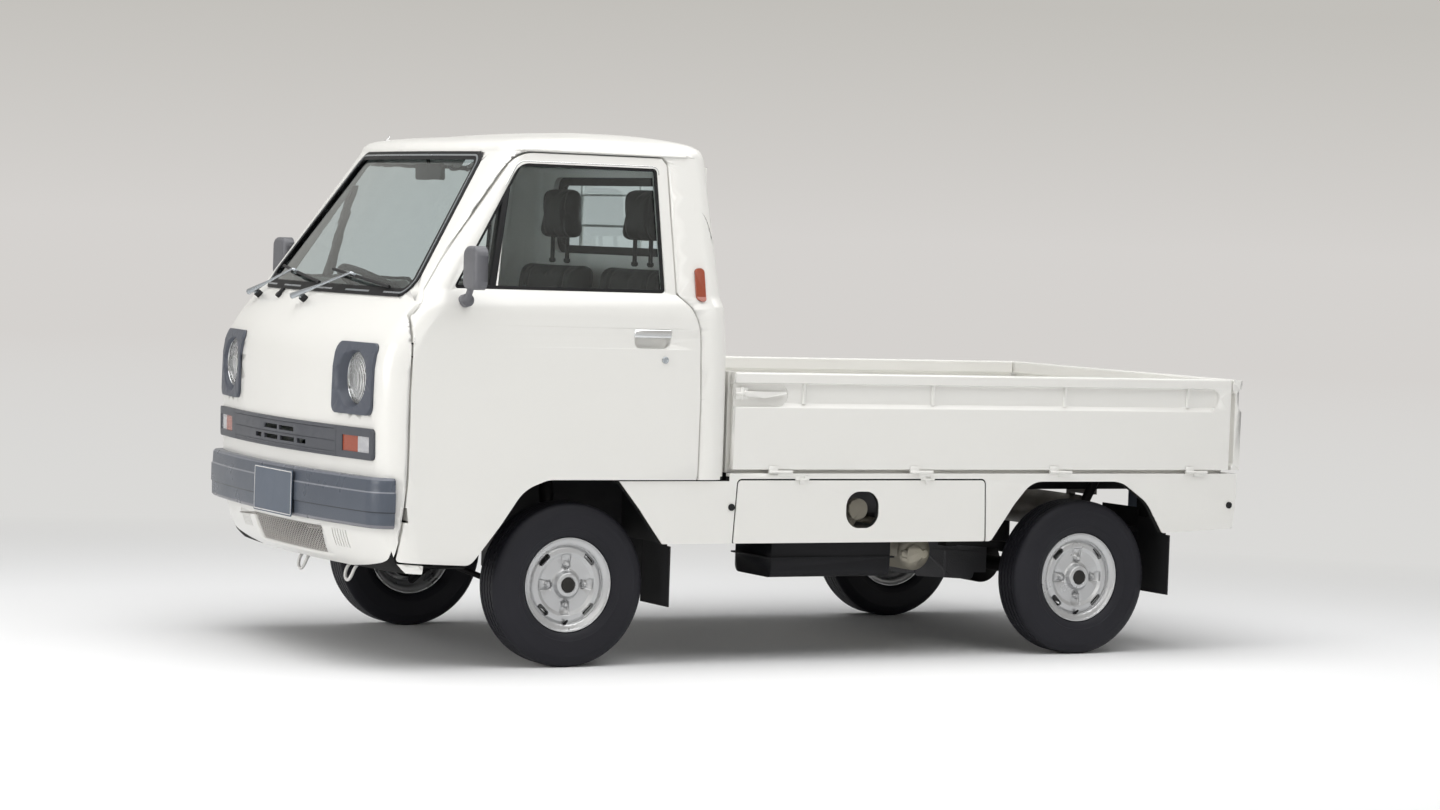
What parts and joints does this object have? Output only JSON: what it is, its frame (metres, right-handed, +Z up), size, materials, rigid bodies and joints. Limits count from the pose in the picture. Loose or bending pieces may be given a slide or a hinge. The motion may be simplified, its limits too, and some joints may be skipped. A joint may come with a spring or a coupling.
{
  "type": "kei truck",
  "caption": "Small cab-over pickup truck with a rounded steel cab, opening doors, a low load bed with drop sides and steered front wheels.",
  "frame": {"origin": "on the ground, midway along the truck's length and width", "axes": "+X forward along the truck's length, +Y to the truck's left, +Z up"},
  "size_m": [3.1983, 1.624, 1.636],
  "materials": {
    "body_paint": "gloss",
    "inner_paint": "satin",
    "window_glass": "clear",
    "lamp_glass": "clear",
    "amber_lens": "gloss",
    "seal_rubber": "matt",
    "tyre_rubber": "matt",
    "wheel_paint": "satin",
    "bezel_plastic": "satin",
    "grille_plastic": "satin",
    "bumper_plastic": "satin",
    "plate_paint": "satin",
    "mirror_plastic": "satin",
    "trim_plastic": "matt",
    "screen_paint": "matt",
    "wiper_steel": "satin",
    "seat_cloth": "matt",
    "wheel_rim_plastic": "satin",
    "chassis_paint": "satin",
    "cast_metal": "rough",
    "engine_metal": "rough",
    "tank_paint": "satin",
    "exhaust_steel": "rough"
  },
  "bodies": {
    "truck": {"nose_panel": "body_paint", "cab_frame": "body_paint", "cab_back_panel": "body_paint", "roof_panel": "body_paint", "cab_floor": "inner_paint", "cab_glass": "window_glass", "glass_seals": "seal_rubber", "headlamps": "lamp_glass", "headlamp_bezels": "bezel_plastic", "grille_panel": "grille_plastic", "signal_lamps": "amber_lens", "apron_screen": "screen_paint", "front_bumper": "bumper_plastic", "number_plates": "plate_paint", "wipers": "trim_plastic", "wiper_arms": "wiper_steel", "dashboard": "trim_plastic", "inner_mirror": "trim_plastic", "seats": "seat_cloth", "headrests": "seat_cloth", "chassis_rails": "chassis_paint", "cross_members": "chassis_paint", "front_suspension": "chassis_paint", "rear_axle": "chassis_paint", "engine_block": "engine_metal", "transaxle": "cast_metal", "fuel_tank": "tank_paint", "exhaust": "exhaust_steel", "rubber_flaps": "seal_rubber", "bed_floor": "body_paint", "bed_front_panel": "body_paint", "side_skirts": "body_paint"},
    "left_door": {"door_left": "body_paint", "door_glass_left": "window_glass", "mirror_left": "mirror_plastic"},
    "right_door": {"door_right": "body_paint", "door_glass_right": "window_glass", "mirror_right": "mirror_plastic"},
    "left_side_gate": {"gate_left": "body_paint"},
    "right_side_gate": {"gate_right": "body_paint"},
    "rear_gate": {"tailgate": "body_paint"},
    "left_lid": {"lid_left": "body_paint"},
    "right_lid": {"lid_right": "body_paint"},
    "left_knuckle": {"knuckle_left": "chassis_paint"},
    "right_knuckle": {"knuckle_right": "chassis_paint"},
    "hand_wheel": {"steering_wheel": "wheel_rim_plastic"},
    "front_left_wheel": {"tyre_front_left": "tyre_rubber", "rim_front_left": "wheel_paint"},
    "front_right_wheel": {"tyre_front_right": "tyre_rubber", "rim_front_right": "wheel_paint"},
    "rear_left_wheel": {"tyre_rear_left": "tyre_rubber", "rim_rear_left": "wheel_paint"},
    "rear_right_wheel": {"tyre_rear_right": "tyre_rubber", "rim_rear_right": "wheel_paint"}
  },
  "joints": [
    {"name": "door_left_hinge", "type": "hinge", "parent": "truck", "child": "left_door", "pos_m": [1.421, 0.69, 0.715], "axis": [0, 0, -1], "range_deg": [0, 65]},
    {"name": "door_right_hinge", "type": "hinge", "parent": "truck", "child": "right_door", "pos_m": [1.421, -0.69, 0.715], "axis": [0, 0, 1], "range_deg": [0, 65]},
    {"name": "gate_left_hinge", "type": "hinge", "parent": "truck", "child": "left_side_gate", "pos_m": [-0.6155, 0.696, 0.601], "axis": [-1, 0, 0], "range_deg": [0, 180]},
    {"name": "gate_right_hinge", "type": "hinge", "parent": "truck", "child": "right_side_gate", "pos_m": [-0.6155, -0.696, 0.601], "axis": [1, 0, 0], "range_deg": [0, 180]},
    {"name": "tailgate_hinge", "type": "hinge", "parent": "truck", "child": "rear_gate", "pos_m": [-1.593, 0, 0.601], "axis": [0, -1, 0], "range_deg": [0, 180]},
    {"name": "lid_left_hinge", "type": "hinge", "parent": "truck", "child": "left_lid", "pos_m": [-0.142, 0.6942, 0.5775], "axis": [-1, 0, 0], "range_deg": [-80, 0]},
    {"name": "lid_right_hinge", "type": "hinge", "parent": "truck", "child": "right_lid", "pos_m": [-0.142, -0.6942, 0.5775], "axis": [1, 0, 0], "range_deg": [-80, 0]},
    {"name": "steer_left", "type": "hinge", "parent": "truck", "child": "left_knuckle", "pos_m": [0.868, 0.53, 0.165], "axis": [0, -0.1633, 0.9866], "range_deg": [-33, 33]},
    {"name": "steer_right", "type": "hinge", "parent": "truck", "child": "right_knuckle", "pos_m": [0.868, -0.53, 0.165], "axis": [0, 0.1633, 0.9866], "range_deg": [-33, 33]},
    {"name": "steering_wheel_turn", "type": "hinge", "parent": "truck", "child": "hand_wheel", "pos_m": [1.05, -0.345, 1.09], "axis": [-0.5, 0, 0.866], "range_deg": [-530, 530]},
    {"name": "front_left_spin", "type": "hinge", "parent": "left_knuckle", "child": "front_left_wheel", "pos_m": [0.868, 0.596, 0.252], "axis": [0, 1, 0], "continuous": true},
    {"name": "front_right_spin", "type": "hinge", "parent": "right_knuckle", "child": "front_right_wheel", "pos_m": [0.868, -0.596, 0.252], "axis": [0, 1, 0], "continuous": true},
    {"name": "rear_left_spin", "type": "hinge", "parent": "truck", "child": "rear_left_wheel", "pos_m": [-0.997, 0.596, 0.252], "axis": [0, 1, 0], "continuous": true},
    {"name": "rear_right_spin", "type": "hinge", "parent": "truck", "child": "rear_right_wheel", "pos_m": [-0.997, -0.596, 0.252], "axis": [0, 1, 0], "continuous": true}
  ],
  "couplings": [
    {"joint": "steer_right", "follows": "steer_left", "ratio": 1},
    {"joint": "steering_wheel_turn", "follows": "steer_left", "ratio": 16}
  ]
}
